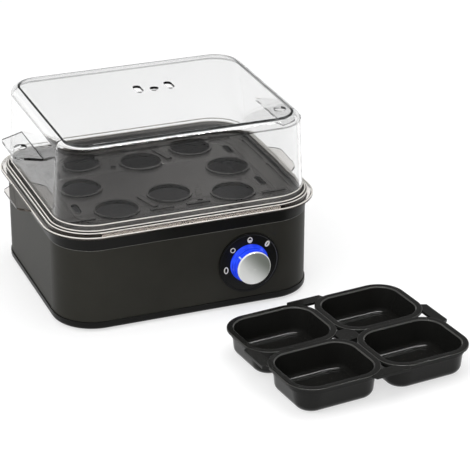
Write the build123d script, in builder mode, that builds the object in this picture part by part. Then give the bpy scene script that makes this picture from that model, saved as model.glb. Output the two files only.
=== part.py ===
from build123d import *
import os
from math import cos, radians, sin

# Electric egg cooker: base with a lit dial, water dish, egg tray, clear lid and a poaching tray.
# Millimetres, +Z up, front at -Y. The origin is the middle of the base on the table.

os.makedirs("parts", exist_ok=True)

# Fits and cuts
seat_gap = 0.3
slip_gap = 0.15
thread_gap = 0.1
running_gap = 0.05
overrun = 2.0

# Body sleeve
body_width = 196.0
body_depth = 167.5
body_radius = 31.2
shell_bottom = 7.4
shell_top = 64.2
shell_wall = 1.2
shell_edge = 0.4

# Base
ring_drop = 1.2
ring_width = 5.0
ring_inset = 12.0
ring_seat_depth = 1.0
cover_floor = 2.4
plinth_out = 0.7
plinth_round = 3.2
lip_wall = 1.8
lip_height = 5.0
vent_length = 36.0
vent_width = 3.0
vent_pitch = 8.0
vent_count = 6

# Posts that the long screws pass through
post_radius = 4.2
post_inset = 8.1
post_height = 34.4
post_shelf = 12.0
cover_screw_radius = 1.5
cover_screw_grip = 14.0
cover_screw_head_radius = 2.7
cover_screw_head = 2.0

# Collar
collar_height = 9.7
collar_flare = 1.1
collar_wall = 3.0
collar_deck = 3.9
collar_lip = 2.2

# Water dish
dish_inset = 17.0
dish_radius = 24.5
dish_depth = 13.0
dish_wall = 1.5
dish_floor_fillet = 5.0
flange_width = 7.5
seal_thickness = 1.0
plate_screw_radius = 1.3
plate_screw_head_radius = 2.4
plate_screw_head = 1.6
plate_screw_grip = 3.0
side_screw_spread = 60.0

# Heater
heater_radius = 3.3
heater_inset_x = 12.0
heater_inset_y = 8.0
heater_bend = 12.0
heater_end_spread = 32.0
heater_end_inset = 6.75
braze_gap = 0.1
pin_radius = 1.25
pin_length = 8.0
bead_radius = 2.9
bead_length = 3.0

# Heat shield
shield_inset = 6.0
shield_switch_gap = 3.75
shield_radius = 20.0
shield_wall = 0.8
shield_rim = 3.0
shield_drop = 9.7
shield_hole_radius = 12.0
stud_radius = 2.0
stud_tail = 4.0
stud_inset = 11.0
spacer_radius = 3.6
nut_flat_radius = 3.5
nut_height = 2.2

# Thermostat
thermostat_flange_radius = 9.0
thermostat_flange = 2.0
thermostat_radius = 7.4
thermostat_height = 10.5
blade_width = 4.0
blade_wall = 0.8
blade_length = 6.0
blade_spread = 10.0
strap_length = 48.0
strap_width = 10.0
strap_wall = 1.0
strap_stud_radius = 1.5
strap_stud_spread = 38.0
strap_nut_flat_radius = 2.75
strap_nut_height = 2.0

# Dial and knob
dial_inset = 55.3
dial_rise = 28.4
dial_radius = 23.4
dial_wall = 1.5
dial_rim_width = 1.3
dial_rim_height = 0.5
guide_radius = 12.0
guide_flange_width = 2.5
guide_flange = 1.8
guide_bore = 5.0
knob_gap = 0.5
knob_rim = 1.2
knob_flare = 2.3
knob_wall = 1.8
knob_web = 3.0
knob_front = 13.2
hub_wall = 2.6
cap_radius = 12.8
cap_overhang = 0.2
cap_wall = 3.2
cap_seat_depth = 1.0
cap_round = 0.8
cap_crown = 0.9

# Selector switch and its bracket
shaft_radius = 3.0
shaft_engagement = 8.5
shaft_flat_depth = 0.8
hub_gap = 0.02
switch_size = 22.0
switch_depth = 13.0
bushing_wall = 1.5
bushing_length = 7.0
switch_nut_flat_radius = 6.5
switch_nut_height = 2.5
switch_tab_spread = 12.0
switch_tab_drop = 3.0
bracket_depth = 12.0
bracket_wall = 2.0
bracket_width = 56.0
bracket_above_dial = 20.0
bracket_foot = 14.0
bracket_boss_radius = 4.0
bracket_boss_height = 4.4
bracket_boss_spread = 40.0
bracket_screw_radius = 1.4
bracket_screw_head_radius = 2.6
bracket_screw_head = 1.8
bracket_screw_grip = 3.5

# Board
board_width = 50.0
board_height = 36.0
board_wall = 1.6
board_post_radius = 2.8
board_post_length = 3.0
board_post_inset = 3.4
board_nut_gap = 1.0
board_screw_radius = 1.1
board_screw_head_radius = 2.1
board_screw_head = 1.4
board_screw_grip = 2.4
lamp_radius = 1.8
lamp_edge_gap = 0.3
lamp_count = 4
buzzer_radius = 5.0
buzzer_height = 3.5
buzzer_left = 18.4
buzzer_up = 8.0

# Cord gland
gland_inset = 43.0
gland_rise = 14.6
gland_bore = 3.4
gland_radius = 6.5
gland_flange_radius = 8.5
gland_flange = 2.5
gland_length = 14.0
gland_nut_flat_radius = 9.0
gland_nut_height = 5.0

# Terminal block
block_left = 30.0
block_inset = 37.75
block_width = 18.0
block_length = 28.0
block_height = 14.0
block_pole_pitch = 8.5
block_wire_radius = 1.6
block_wire_height = 8.0
block_screw_well_radius = 2.2
block_screw_well_depth = 4.0
block_ear = 7.0
block_ear_width = 9.0
block_ear_wall = 3.0
block_pad_height = 4.0
block_pad_margin = 1.0
block_screw_radius = 1.3
block_screw_head_radius = 2.4
block_screw_head = 1.6
block_screw_grip = 3.2

# Leads
lead_radius = 1.2
lead_bend = 6.0
lead_rise = 8.0
fuse_radius = 2.8
fuse_length = 12.0

# Egg tray
tray_floor = 1.8
tray_rim_in = 1.2
tray_rim_height = 5.2
tray_rim_out = 0.6
tray_skirt_out = 5.7
tray_skirt_wall = 1.5
tray_skirt_drop = 0.8
tray_step_out = 1.0
tray_step_height = 1.2
tray_spigot_gap = 0.6
tray_spigot_wall = 1.6
tray_spigot_drop = 3.2
seat_radius = 15.5
seat_rib = 1.6
seat_rib_height = 1.4
seat_corner_x_share = 0.572
seat_corner_y_share = 0.713
seat_middle_y_share = 0.5
seat_side_x_share = 0.746
steam_slot_x_share = 0.914
steam_slot_y_share = 0.511
steam_slot_length = 16.0
steam_slot_width = 5.0
steam_rib_x_share = 0.933
steam_rib_y_share = 0.868
steam_rib_length = 18.0
steam_rib_width = 2.2
steam_rib_height = 1.2
bone_x_share = 0.254
bone_y_share = 0.635
bone_length = 22.0
bone_width = 4.0
bone_lean = 15.0
bone_bar_x_share = 0.178
tray_tab_out = 9.5
tray_tab_length = 52.5
tray_tab_tip = 35.8
tray_tab_wall = 1.6
tray_tab_round = 4.0
side_slot_inset = 9.0
side_slot_length = 42.0
side_slot_width = 2.4
side_slot_depth = 0.8
side_slot_y_share = 0.3

# Lid
lid_side_gap = 0.7
lid_height = 64.2
lid_draw = 4.0
lid_top_radius = 22.0
lid_wall = 2.0
lid_round = 6.9
lid_tab_rise = 38.1
lid_tab_wall = 2.0
lid_tab_out = 19.9
lid_tab_length = 58.4
lid_tab_tip = 36.8
lid_tab_waist = 46.0
lid_tab_round = 4.0
lid_tab_hole_out = 10.8
lid_tab_hole_radius = 4.9
vent_slot_length = 13.7
vent_slot_width = 5.9
vent_slot_left = -4.6
vent_slot_right = 19.9
vent_slot_y = 21.1
vent_hole_x = 7.0
vent_hole_y = 17.9
vent_hole_radius = 3.4

# Poaching tray, which stands in front of the base
poach_x = 74.6
poach_ahead = 105.15
poach_turn = 6.5
poach_height = 21.6
cup_mouth_width = 61.4
cup_mouth_depth = 49.9
cup_mouth_radius = 14.9
cup_draft_x = 3.5
cup_draft_y = 2.35
cup_foot_radius = 11.1
cup_wall = 1.8
cup_lip = 5.0
cup_lip_height = 1.7
cup_lip_round = 0.8
cup_lip_chamfer = 0.8
cup_rim = 2.3
cup_band = 5.5
cup_inner_fillet = 4.7
cup_outer_fillet = 6.5
lip_merge_x = 0.3
lip_merge_y = 0.9
poach_tab_out_x = 3.25
poach_tab_out_y = 2.55
poach_tab_root = 35.2
poach_tab_tip = 26.4
poach_tab_depth = 17.1
poach_web = 2.0
poach_web_drop = 0.3
poach_hub = 15.6

# Heights and places that follow from the sizes above
half_width = body_width / 2
half_depth = body_depth / 2
front_y = -half_depth
back_y = half_depth
cover_bottom = ring_drop
floor_top = cover_bottom + cover_floor
collar_top = shell_top + collar_height
deck_bottom = collar_top - collar_deck
flange_top = deck_bottom - seal_thickness
dish_top = flange_top - dish_depth
dish_bottom = dish_top - dish_wall
shield_top = dish_bottom - shield_drop
shell_in = shell_wall + slip_gap
post_reach = (body_radius - post_inset) * cos(radians(45))
post_x = half_width - body_radius + post_reach
post_y = half_depth - body_radius + post_reach
post_split = floor_top + post_height
post_places = [(sx * post_x, sy * post_y) for sx in (-1, 1) for sy in (-1, 1)]
dish_width = body_width - 2 * dish_inset
dish_length = body_depth - 2 * dish_inset
flange_middle = flange_width / 2
plate_screw_places = [
    (sx * (dish_width / 2 + flange_middle), sy * side_screw_spread / 2) for sx in (-1, 1) for sy in (-1, 1)
] + [(0, -dish_length / 2 - flange_middle), (0, dish_length / 2 + flange_middle)]
dial_x = half_width - dial_inset
dial_z = shell_bottom + dial_rise
gland_x = gland_inset - half_width
gland_z = shell_bottom + gland_rise
bracket_y = front_y + bracket_depth
switch_front = bracket_y + bracket_wall
switch_back = switch_front + switch_depth
bushing_radius = shaft_radius + bushing_wall
hub_radius = shaft_radius + hub_wall
guide_flange_radius = guide_radius + guide_flange_width
knob_neck_radius = cap_radius - cap_overhang
cap_seat_radius = knob_neck_radius - knob_rim
knob_radius = knob_neck_radius + knob_flare
board_hole_radius = switch_nut_flat_radius / cos(radians(30)) + board_nut_gap
lamp_ring_radius = board_hole_radius + lamp_radius + lamp_edge_gap
shield_width = dish_width - 2 * shield_inset
shield_depth = -2 * (switch_back + shield_switch_gap)
stud_span_x = shield_width - 2 * stud_inset
stud_span_y = shield_depth - 2 * stud_inset
heater_span_x = stud_span_x - 2 * heater_inset_x
heater_span_y = stud_span_y - 2 * heater_inset_y
heater_end_y = dish_length / 2 - heater_end_inset
block_x = -block_left
block_y = back_y - block_inset
opening_half_width = dish_width / 2 - collar_lip
opening_half_depth = dish_length / 2 - collar_lip
board_y = bracket_y - board_post_length
boss_top = floor_top + bracket_boss_height
tray_bottom = collar_top + seat_gap
tray_top = tray_bottom + tray_floor
lid_bottom = tray_top + seat_gap


def rounded(width, depth, radius, out, mode=Mode.ADD):
    """A rounded rectangle, grown by a distance, or shrunk where it is negative."""
    RectangleRounded(width + 2 * out, depth + 2 * out, radius + out, mode=mode)


def body_outline(out, mode=Mode.ADD):
    """The body's rounded outline, grown by a distance."""
    rounded(body_width, body_depth, body_radius, out, mode)


def dish_outline(out, mode=Mode.ADD):
    """The water dish's rounded outline, grown by a distance."""
    rounded(dish_width, dish_length, dish_radius, out, mode)


def front_plane(y):
    """A plane at the dial's middle with its normal to the front, X to the right and Z up."""
    return Plane(origin=(dial_x, y, dial_z), x_dir=(1, 0, 0), z_dir=(0, -1, 0))


def back_plane(y):
    """A plane at the cord gland with its normal to the back."""
    return Plane(origin=(gland_x, y, gland_z), x_dir=(-1, 0, 0), z_dir=(0, 1, 0))


def save(part, label):
    """Name a finished piece and write it."""
    part.label = label
    export_step(part, f"parts/{label}.step")


# The body's outline as a closed path from the middle of the front, and the plane of a rim's section
with BuildLine() as rim_path:
    front_right = Line((0, -half_depth), (half_width - body_radius, -half_depth))
    corner_1 = JernArc(front_right @ 1, front_right % 1, body_radius, 90)
    right_side = Line(corner_1 @ 1, (half_width, half_depth - body_radius))
    corner_2 = JernArc(right_side @ 1, right_side % 1, body_radius, 90)
    back_side = Line(corner_2 @ 1, (-half_width + body_radius, half_depth))
    corner_3 = JernArc(back_side @ 1, back_side % 1, body_radius, 90)
    left_side = Line(corner_3 @ 1, (-half_width, -half_depth + body_radius))
    corner_4 = JernArc(left_side @ 1, left_side % 1, body_radius, 90)
    Line(corner_4 @ 1, front_right @ 0)
rim_plane = Plane(origin=(0, -half_depth, 0), x_dir=(0, -1, 0), z_dir=(-1, 0, 0))

# Rubber ring that the base stands on
with BuildPart() as rest_ring:
    with BuildSketch():
        body_outline(-ring_inset)
        body_outline(-ring_inset - ring_width, Mode.SUBTRACT)
    extrude(amount=ring_drop + ring_seat_depth)
save(rest_ring.part, "rest_ring")

# Base: floor, plinth ledge, lip inside the sleeve, posts, bosses and the block's pad
pad_width = block_width + 2 * block_pad_margin
pad_length = block_length + 2 * block_ear + 2 * block_pad_margin
foot_y = bracket_y + bracket_foot / 2
bracket_boss_places = [(dial_x + s * bracket_boss_spread / 2, foot_y) for s in (-1, 1)]
block_ear_y = (block_length + block_ear) / 2
block_screw_places = [(block_x, block_y + s * block_ear_y) for s in (-1, 1)]
with BuildPart() as bottom_cover:
    with BuildSketch(Plane.XY.offset(cover_bottom)):
        body_outline(plinth_out)
    extrude(amount=shell_bottom - cover_bottom)
    fillet(bottom_cover.faces().sort_by(Axis.Z)[0].edges(), radius=plinth_round)
    with BuildSketch(Plane.XY.offset(shell_bottom)):
        body_outline(-shell_in)
    extrude(amount=lip_height)
    with BuildSketch(Plane.XY.offset(floor_top)):
        body_outline(-shell_in - lip_wall)
    extrude(amount=shell_bottom + lip_height - floor_top, mode=Mode.SUBTRACT)
    with BuildSketch(Plane.XY.offset(cover_bottom)):
        body_outline(-ring_inset + slip_gap)
        body_outline(-ring_inset - ring_width - slip_gap, Mode.SUBTRACT)
    extrude(amount=ring_seat_depth, mode=Mode.SUBTRACT)
    with BuildSketch(Plane.XY.offset(floor_top)):
        with Locations(*post_places):
            Circle(post_radius)
    extrude(amount=post_split - floor_top)
    with BuildSketch(Plane.XY.offset(floor_top)):
        with Locations(*bracket_boss_places):
            Circle(bracket_boss_radius)
    extrude(amount=bracket_boss_height)
    with BuildSketch(Plane.XY.offset(floor_top)):
        with Locations((block_x, block_y)):
            Rectangle(pad_width, pad_length)
    extrude(amount=block_pad_height)
    with BuildSketch(Plane.XY.offset(cover_bottom)):
        with GridLocations(vent_pitch, 0, vent_count, 1):
            SlotOverall(vent_length, vent_width, rotation=90)
    extrude(amount=cover_floor, mode=Mode.SUBTRACT)
    with BuildSketch(Plane.XY.offset(cover_bottom)):
        with Locations(*post_places):
            Circle(cover_screw_head_radius + slip_gap)
    extrude(amount=post_split - post_shelf - cover_bottom, mode=Mode.SUBTRACT)
    with BuildSketch(Plane.XY.offset(cover_bottom)):
        with Locations(*post_places):
            Circle(cover_screw_radius + thread_gap)
    extrude(amount=post_split - cover_bottom, mode=Mode.SUBTRACT)
    with BuildSketch(Plane.XY.offset(boss_top)):
        with Locations(*bracket_boss_places):
            Circle(bracket_screw_radius + thread_gap)
    extrude(amount=-bracket_screw_grip - thread_gap, mode=Mode.SUBTRACT)
    with BuildSketch(Plane.XY.offset(floor_top + block_pad_height)):
        with Locations(*block_screw_places):
            Circle(block_screw_radius + thread_gap)
    extrude(amount=-block_screw_grip - thread_gap, mode=Mode.SUBTRACT)
save(bottom_cover.part, "bottom_cover")

# Four long screws from below, through the posts into the collar
with BuildPart() as cover_screws:
    with BuildSketch(Plane.XY.offset(post_split - post_shelf)):
        with Locations(*post_places):
            Circle(cover_screw_head_radius)
    extrude(amount=-cover_screw_head)
    with BuildSketch(Plane.XY.offset(post_split - post_shelf)):
        with Locations(*post_places):
            Circle(cover_screw_radius)
    extrude(amount=post_shelf + cover_screw_grip)
save(cover_screws.part, "cover_screws")

# Sleeve with the dial's hole at the front and the gland's hole at the back
with BuildPart() as body_shell:
    with BuildSketch(Plane.XY.offset(shell_bottom)):
        body_outline(0)
        body_outline(-shell_wall, Mode.SUBTRACT)
    extrude(amount=shell_top - shell_bottom)
    fillet(body_shell.faces().sort_by(Axis.Z)[-1].outer_wire().edges(), radius=shell_edge)
    with BuildSketch(front_plane(front_y + shell_wall + overrun)):
        Circle(guide_radius + slip_gap)
    extrude(amount=shell_wall + 2 * overrun, mode=Mode.SUBTRACT)
    with BuildSketch(back_plane(back_y - shell_wall - overrun)):
        Circle(gland_radius + slip_gap)
    extrude(amount=shell_wall + 2 * overrun, mode=Mode.SUBTRACT)
save(body_shell.part, "body_shell")

# Collar: flared edge, deck over the dish's flange, lip inside the sleeve and screw bosses
with BuildPart() as top_collar:
    with BuildSketch(rim_plane):
        with BuildLine():
            Polyline(
                (0, shell_top),
                (collar_flare, collar_top),
                (-collar_wall, collar_top),
                (-collar_wall, shell_top),
                close=True,
            )
        make_face()
    sweep(path=rim_path.wire())
    with BuildSketch(Plane.XY.offset(deck_bottom)):
        body_outline(-collar_wall / 2)
        dish_outline(-collar_lip, Mode.SUBTRACT)
    extrude(amount=collar_deck)
    with BuildSketch(Plane.XY.offset(shell_top - lip_height)):
        body_outline(-shell_in)
        body_outline(-shell_in - lip_wall, Mode.SUBTRACT)
    extrude(amount=deck_bottom - shell_top + lip_height)
    with BuildSketch(Plane.XY.offset(post_split)):
        with Locations(*post_places):
            Circle(post_radius)
    extrude(amount=deck_bottom - post_split)
    with BuildSketch(Plane.XY.offset(post_split)):
        with Locations(*post_places):
            Circle(cover_screw_radius + thread_gap)
    extrude(amount=cover_screw_grip + thread_gap, mode=Mode.SUBTRACT)
    with BuildSketch(Plane.XY.offset(deck_bottom)):
        with Locations(*plate_screw_places):
            Circle(plate_screw_radius + thread_gap)
    extrude(amount=plate_screw_grip + thread_gap, mode=Mode.SUBTRACT)
save(top_collar.part, "top_collar")

# Seal between the dish's flange and the collar's deck
with BuildPart() as plate_seal:
    with BuildSketch(Plane.XY.offset(flange_top)):
        dish_outline(flange_width)
        dish_outline(0, Mode.SUBTRACT)
        with Locations(*plate_screw_places):
            Circle(plate_screw_radius + thread_gap, mode=Mode.SUBTRACT)
    extrude(amount=seal_thickness)
save(plate_seal.part, "plate_seal")

# Water dish with its flange and the studs welded under it
stud_places = [(sx * stud_span_x / 2, sy * stud_span_y / 2) for sx in (-1, 1) for sy in (-1, 1)]
strap_stud_places = [(s * strap_stud_spread / 2, 0) for s in (-1, 1)]
strap_bottom = dish_bottom - thermostat_flange - strap_wall
with BuildPart() as dish_hollow:
    with BuildSketch(Plane.XY.offset(dish_top)):
        dish_outline(-dish_wall)
    extrude(amount=dish_depth + overrun)
    fillet(dish_hollow.faces().sort_by(Axis.Z)[0].edges(), radius=dish_floor_fillet - dish_wall)
with BuildPart() as heating_plate:
    with BuildSketch(Plane.XY.offset(dish_bottom)):
        dish_outline(0)
    extrude(amount=flange_top - dish_bottom)
    fillet(heating_plate.faces().sort_by(Axis.Z)[0].edges(), radius=dish_floor_fillet)
    with BuildSketch(Plane.XY.offset(flange_top - dish_wall)):
        dish_outline(flange_width)
    extrude(amount=dish_wall)
    add(dish_hollow.part, mode=Mode.SUBTRACT)
    with BuildSketch(Plane.XY.offset(flange_top - dish_wall)):
        with Locations(*plate_screw_places):
            Circle(plate_screw_radius + thread_gap)
    extrude(amount=dish_wall, mode=Mode.SUBTRACT)
    with BuildSketch(Plane.XY.offset(dish_bottom)):
        with Locations(*stud_places):
            Circle(stud_radius)
    extrude(amount=-shield_drop - shield_wall - stud_tail)
    with BuildSketch(Plane.XY.offset(dish_bottom)):
        with Locations(*strap_stud_places):
            Circle(strap_stud_radius)
    extrude(amount=strap_bottom - strap_nut_height - dish_bottom)
save(heating_plate.part, "heating_plate")

# Screws that hold the flange up against the collar
with BuildPart() as plate_screws:
    with BuildSketch(Plane.XY.offset(flange_top - dish_wall)):
        with Locations(*plate_screw_places):
            Circle(plate_screw_head_radius)
    extrude(amount=-plate_screw_head)
    with BuildSketch(Plane.XY.offset(flange_top - dish_wall)):
        with Locations(*plate_screw_places):
            Circle(plate_screw_radius)
    extrude(amount=dish_wall + seal_thickness + plate_screw_grip)
save(plate_screws.part, "plate_screws")

# Tubular heater under the dish, its cold pins and their beads
heater_z = dish_bottom - heater_radius - braze_gap
end_x = heater_end_spread / 2
with BuildPart() as heater_element:
    with BuildLine() as heater_path:
        FilletPolyline(
            (-end_x, heater_end_y, heater_z),
            (-end_x, heater_span_y / 2, heater_z),
            (-heater_span_x / 2, heater_span_y / 2, heater_z),
            (-heater_span_x / 2, -heater_span_y / 2, heater_z),
            (heater_span_x / 2, -heater_span_y / 2, heater_z),
            (heater_span_x / 2, heater_span_y / 2, heater_z),
            (end_x, heater_span_y / 2, heater_z),
            (end_x, heater_end_y, heater_z),
            radius=heater_bend,
        )
    with BuildSketch(Plane(origin=heater_path.line @ 0, z_dir=heater_path.line % 0)):
        Circle(heater_radius)
    sweep()
save(heater_element.part, "heater_element")

heater_end_plane = Plane(origin=(0, heater_end_y, heater_z), x_dir=(1, 0, 0), z_dir=(0, 1, 0))
with BuildPart() as heater_pins:
    with BuildSketch(heater_end_plane):
        with GridLocations(heater_end_spread, 0, 2, 1):
            Circle(pin_radius)
    extrude(amount=pin_length)
save(heater_pins.part, "heater_pins")

with BuildPart() as heater_beads:
    with BuildSketch(heater_end_plane):
        with GridLocations(heater_end_spread, 0, 2, 1):
            Circle(bead_radius)
            Circle(pin_radius + thread_gap, mode=Mode.SUBTRACT)
    extrude(amount=bead_length)
save(heater_beads.part, "heater_beads")

# Heat shield hung on the studs
with BuildPart() as shield_spacers:
    with BuildSketch(Plane.XY.offset(dish_bottom)):
        with Locations(*stud_places):
            Circle(spacer_radius)
            Circle(stud_radius + thread_gap, mode=Mode.SUBTRACT)
    extrude(amount=-shield_drop)
save(shield_spacers.part, "shield_spacers")

with BuildPart() as heat_shield:
    with BuildSketch(Plane.XY.offset(shield_top - shield_wall)):
        rounded(shield_width, shield_depth, shield_radius, 0)
    extrude(amount=shield_rim)
    with BuildSketch(Plane.XY.offset(shield_top)):
        rounded(shield_width, shield_depth, shield_radius, -shield_wall)
    extrude(amount=shield_rim, mode=Mode.SUBTRACT)
    with BuildSketch(Plane.XY.offset(shield_top)):
        Circle(shield_hole_radius)
        with Locations(*stud_places):
            Circle(stud_radius + thread_gap)
    extrude(amount=-shield_wall, mode=Mode.SUBTRACT)
save(heat_shield.part, "heat_shield")

with BuildPart() as shield_nuts:
    with BuildSketch(Plane.XY.offset(shield_top - shield_wall)):
        with Locations(*stud_places):
            RegularPolygon(nut_flat_radius, 6, major_radius=False)
            Circle(stud_radius + thread_gap, mode=Mode.SUBTRACT)
    extrude(amount=-nut_height)
save(shield_nuts.part, "shield_nuts")

# Thermostat pressed to the dish by a strap on two small studs
with BuildPart() as thermostat:
    with BuildSketch(Plane.XY.offset(dish_bottom)):
        Circle(thermostat_flange_radius)
    extrude(amount=-thermostat_flange)
    with BuildSketch(Plane.XY.offset(dish_bottom)):
        Circle(thermostat_radius)
    extrude(amount=-thermostat_height)
    with BuildSketch(Plane.XY.offset(dish_bottom - thermostat_height)):
        with GridLocations(blade_spread, 0, 2, 1):
            Rectangle(blade_wall, blade_width)
    extrude(amount=-blade_length)
save(thermostat.part, "thermostat")

with BuildPart() as thermostat_strap:
    with BuildSketch(Plane.XY.offset(strap_bottom)):
        SlotOverall(strap_length, strap_width)
        Circle(thermostat_flange_radius)
        Circle(thermostat_radius + slip_gap, mode=Mode.SUBTRACT)
        with Locations(*strap_stud_places):
            Circle(strap_stud_radius + thread_gap, mode=Mode.SUBTRACT)
    extrude(amount=strap_wall)
save(thermostat_strap.part, "thermostat_strap")

with BuildPart() as strap_nuts:
    with BuildSketch(Plane.XY.offset(strap_bottom)):
        with Locations(*strap_stud_places):
            RegularPolygon(strap_nut_flat_radius, 6, major_radius=False)
            Circle(strap_stud_radius + thread_gap, mode=Mode.SUBTRACT)
    extrude(amount=-strap_nut_height)
save(strap_nuts.part, "strap_nuts")

# Bracket: upright plate with a foot on the two bosses, and posts for the board
board_place_x = board_width / 2 - board_post_inset
board_place_z = board_height / 2 - board_post_inset
board_places = [(sx * board_place_x, sz * board_place_z) for sx in (-1, 1) for sz in (-1, 1)]
bracket_height = dial_z + bracket_above_dial - boss_top
with BuildPart() as switch_bracket:
    with BuildSketch(Plane.XY.offset(boss_top)):
        with Locations((dial_x, bracket_y)):
            Rectangle(bracket_width, bracket_foot, align=(Align.CENTER, Align.MIN))
    extrude(amount=bracket_wall)
    with BuildSketch(Plane.XY.offset(boss_top)):
        with Locations((dial_x, bracket_y)):
            Rectangle(bracket_width, bracket_wall, align=(Align.CENTER, Align.MIN))
    extrude(amount=bracket_height)
    with BuildSketch(front_plane(bracket_y)):
        with Locations(*board_places):
            Circle(board_post_radius)
    extrude(amount=board_post_length)
    with BuildSketch(front_plane(bracket_y + bracket_wall)):
        Circle(bushing_radius + slip_gap)
    extrude(amount=bracket_wall, mode=Mode.SUBTRACT)
    with BuildSketch(front_plane(board_y)):
        with Locations(*board_places):
            Circle(board_screw_radius + thread_gap)
    extrude(amount=-board_screw_grip - thread_gap, mode=Mode.SUBTRACT)
    with BuildSketch(Plane.XY.offset(boss_top)):
        with Locations(*bracket_boss_places):
            Circle(bracket_screw_radius + thread_gap)
    extrude(amount=bracket_wall, mode=Mode.SUBTRACT)
save(switch_bracket.part, "switch_bracket")

with BuildPart() as bracket_screws:
    with BuildSketch(Plane.XY.offset(boss_top + bracket_wall)):
        with Locations(*bracket_boss_places):
            Circle(bracket_screw_head_radius)
    extrude(amount=bracket_screw_head)
    with BuildSketch(Plane.XY.offset(boss_top + bracket_wall)):
        with Locations(*bracket_boss_places):
            Circle(bracket_screw_radius)
    extrude(amount=-bracket_wall - bracket_screw_grip)
save(bracket_screws.part, "bracket_screws")

# Selector switch behind the bracket, with its threaded bushing and nut
with BuildPart() as rotary_switch:
    with BuildSketch(front_plane(switch_back)):
        Rectangle(switch_size, switch_size)
    extrude(amount=switch_depth)
    with BuildSketch(front_plane(switch_front)):
        Circle(bushing_radius)
    extrude(amount=bushing_length)
    with BuildSketch(front_plane(switch_front + shaft_engagement + running_gap)):
        Circle(shaft_radius + running_gap)
    extrude(amount=shaft_engagement + running_gap + bushing_length, mode=Mode.SUBTRACT)
save(rotary_switch.part, "rotary_switch")

with BuildPart() as switch_nut:
    with BuildSketch(front_plane(bracket_y)):
        RegularPolygon(switch_nut_flat_radius, 6, major_radius=False)
        Circle(bushing_radius + thread_gap, mode=Mode.SUBTRACT)
    extrude(amount=switch_nut_height)
save(switch_nut.part, "switch_nut")

# Shaft, flattened where it enters the knob's hub
knob_back = dial_wall + knob_gap
hub_end = knob_front - cap_wall - cap_seat_depth
shaft_tip_y = front_y - hub_end
with BuildPart() as switch_shaft:
    with BuildSketch(front_plane(switch_front + shaft_engagement)):
        Circle(shaft_radius)
    extrude(amount=switch_front + shaft_engagement - shaft_tip_y)
    with BuildSketch(front_plane(front_y - knob_back)):
        with Locations((0, shaft_radius - shaft_flat_depth)):
            Rectangle(2 * shaft_radius, 2 * shaft_radius, align=(Align.CENTER, Align.MIN))
    extrude(amount=knob_front, mode=Mode.SUBTRACT)
save(switch_shaft.part, "switch_shaft")

# Board with its screws, lamps and buzzer
with BuildPart() as control_board:
    with BuildSketch(front_plane(board_y)):
        Rectangle(board_width, board_height)
        Circle(board_hole_radius, mode=Mode.SUBTRACT)
        with Locations(*board_places):
            Circle(board_screw_radius + thread_gap, mode=Mode.SUBTRACT)
    extrude(amount=board_wall)
save(control_board.part, "control_board")

board_face_y = board_y - board_wall
with BuildPart() as board_screws:
    with BuildSketch(front_plane(board_face_y)):
        with Locations(*board_places):
            Circle(board_screw_head_radius)
    extrude(amount=board_screw_head)
    with BuildSketch(front_plane(board_face_y)):
        with Locations(*board_places):
            Circle(board_screw_radius)
    extrude(amount=-board_wall - board_screw_grip)
save(board_screws.part, "board_screws")

guide_back_y = front_y + shell_wall + guide_flange
with BuildPart() as status_leds:
    with BuildSketch(front_plane(board_face_y)):
        with PolarLocations(lamp_ring_radius, lamp_count, start_angle=45):
            Circle(lamp_radius)
    extrude(amount=board_face_y - guide_back_y - seat_gap)
save(status_leds.part, "status_leds")

with BuildPart() as buzzer:
    with BuildSketch(front_plane(board_face_y)):
        with Locations((-buzzer_left, buzzer_up)):
            Circle(buzzer_radius)
    extrude(amount=buzzer_height)
    with BuildSketch(front_plane(board_face_y - buzzer_height)):
        with Locations((-buzzer_left, buzzer_up)):
            Circle(lamp_radius)
    extrude(amount=-buzzer_height / 2, mode=Mode.SUBTRACT)
save(buzzer.part, "buzzer")

# Clear ring that takes the lamps' light through the sleeve and the dial plate
with BuildPart() as light_guide:
    with BuildSketch(front_plane(guide_back_y)):
        Circle(guide_flange_radius)
        Circle(guide_bore, mode=Mode.SUBTRACT)
    extrude(amount=guide_flange)
    with BuildSketch(front_plane(front_y + shell_wall)):
        Circle(guide_radius)
        Circle(guide_bore, mode=Mode.SUBTRACT)
    extrude(amount=shell_wall + dial_wall)
save(light_guide.part, "light_guide")

# Dial plate on the front of the sleeve, with a thin raised edge
with BuildPart() as dial_plate:
    with BuildSketch(front_plane(front_y)):
        Circle(dial_radius)
        Circle(guide_radius + slip_gap, mode=Mode.SUBTRACT)
    extrude(amount=dial_wall)
    with BuildSketch(front_plane(front_y - dial_wall)):
        Circle(dial_radius)
        Circle(dial_radius - dial_rim_width, mode=Mode.SUBTRACT)
    extrude(amount=dial_rim_height)
save(dial_plate.part, "dial_plate")

# Knob: blue skirt with a hub on the shaft, and the cap in its front
cap_back = knob_front - cap_wall
skirt_front = cap_back + cap_seat_depth
knob_plane = Plane(origin=(dial_x, front_y, dial_z), x_dir=(1, 0, 0), z_dir=(0, 0, 1))
knob_axis = Axis((dial_x, front_y, dial_z), (0, -1, 0))
with BuildPart() as knob_skirt:
    with BuildSketch(knob_plane):
        with BuildLine():
            Polyline(
                (0, -knob_back),
                (hub_radius, -knob_back),
                (hub_radius, -(cap_back - knob_web)),
                (knob_neck_radius - knob_wall, -(cap_back - knob_web)),
                (knob_radius - knob_wall, -knob_back),
                (knob_radius, -knob_back),
                (knob_neck_radius, -skirt_front),
                (cap_seat_radius, -skirt_front),
                (cap_seat_radius, -cap_back),
                (0, -cap_back),
                close=True,
            )
        make_face()
    revolve(axis=knob_axis)
    with BuildSketch(front_plane(front_y - knob_back)):
        Circle(shaft_radius + hub_gap)
        with Locations((0, shaft_radius - shaft_flat_depth + hub_gap)):
            Rectangle(4 * shaft_radius, 2 * shaft_radius, align=(Align.CENTER, Align.MIN), mode=Mode.SUBTRACT)
    extrude(amount=hub_end + hub_gap - knob_back, mode=Mode.SUBTRACT)
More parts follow.
